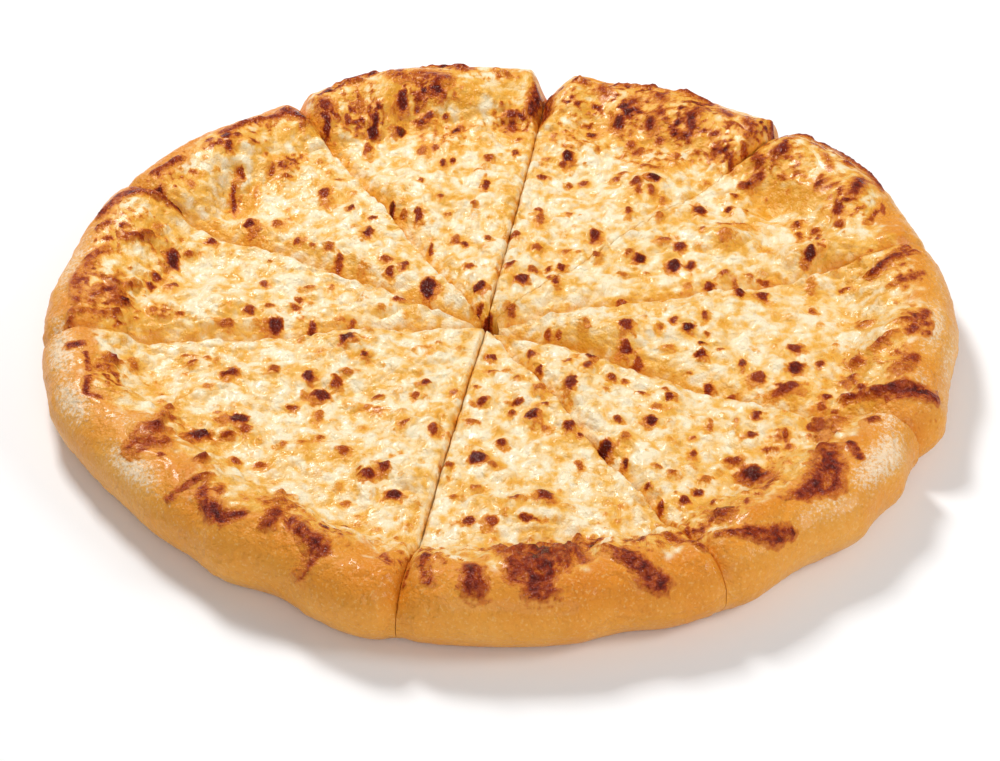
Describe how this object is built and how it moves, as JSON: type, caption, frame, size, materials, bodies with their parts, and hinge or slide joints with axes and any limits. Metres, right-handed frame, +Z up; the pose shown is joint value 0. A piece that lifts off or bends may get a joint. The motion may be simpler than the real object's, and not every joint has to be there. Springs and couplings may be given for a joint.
{
  "type": "pan pizza",
  "caption": "Round cheese pan pizza with a thick baked rim and a pale, blistered cheese top, cut into slices that still lie together.",
  "frame": {"origin": "middle of the pizza's flat base, on the surface it stands on", "axes": "+Z up, -Y towards the front of the picture, +X to its right"},
  "size_m": [0.3558, 0.356, 0.0323],
  "materials": {
    "crust": "golden baked dough, browned on its crest and floury in places",
    "cheese": "melted mozzarella, cream and glossy, with yellow oil and brown blisters"
  },
  "bodies": {
    "root": {"crust_1": "crust", "cheese_1": "cheese", "crust_2": "crust", "cheese_2": "cheese", "crust_3": "crust", "cheese_3": "cheese", "crust_4": "crust", "cheese_4": "cheese", "crust_5": "crust", "cheese_5": "cheese", "crust_6": "crust", "cheese_6": "cheese", "crust_7": "crust", "cheese_7": "cheese", "crust_8": "crust", "cheese_8": "cheese", "crust_9": "crust", "cheese_9": "cheese"}
  },
  "joints": []
}
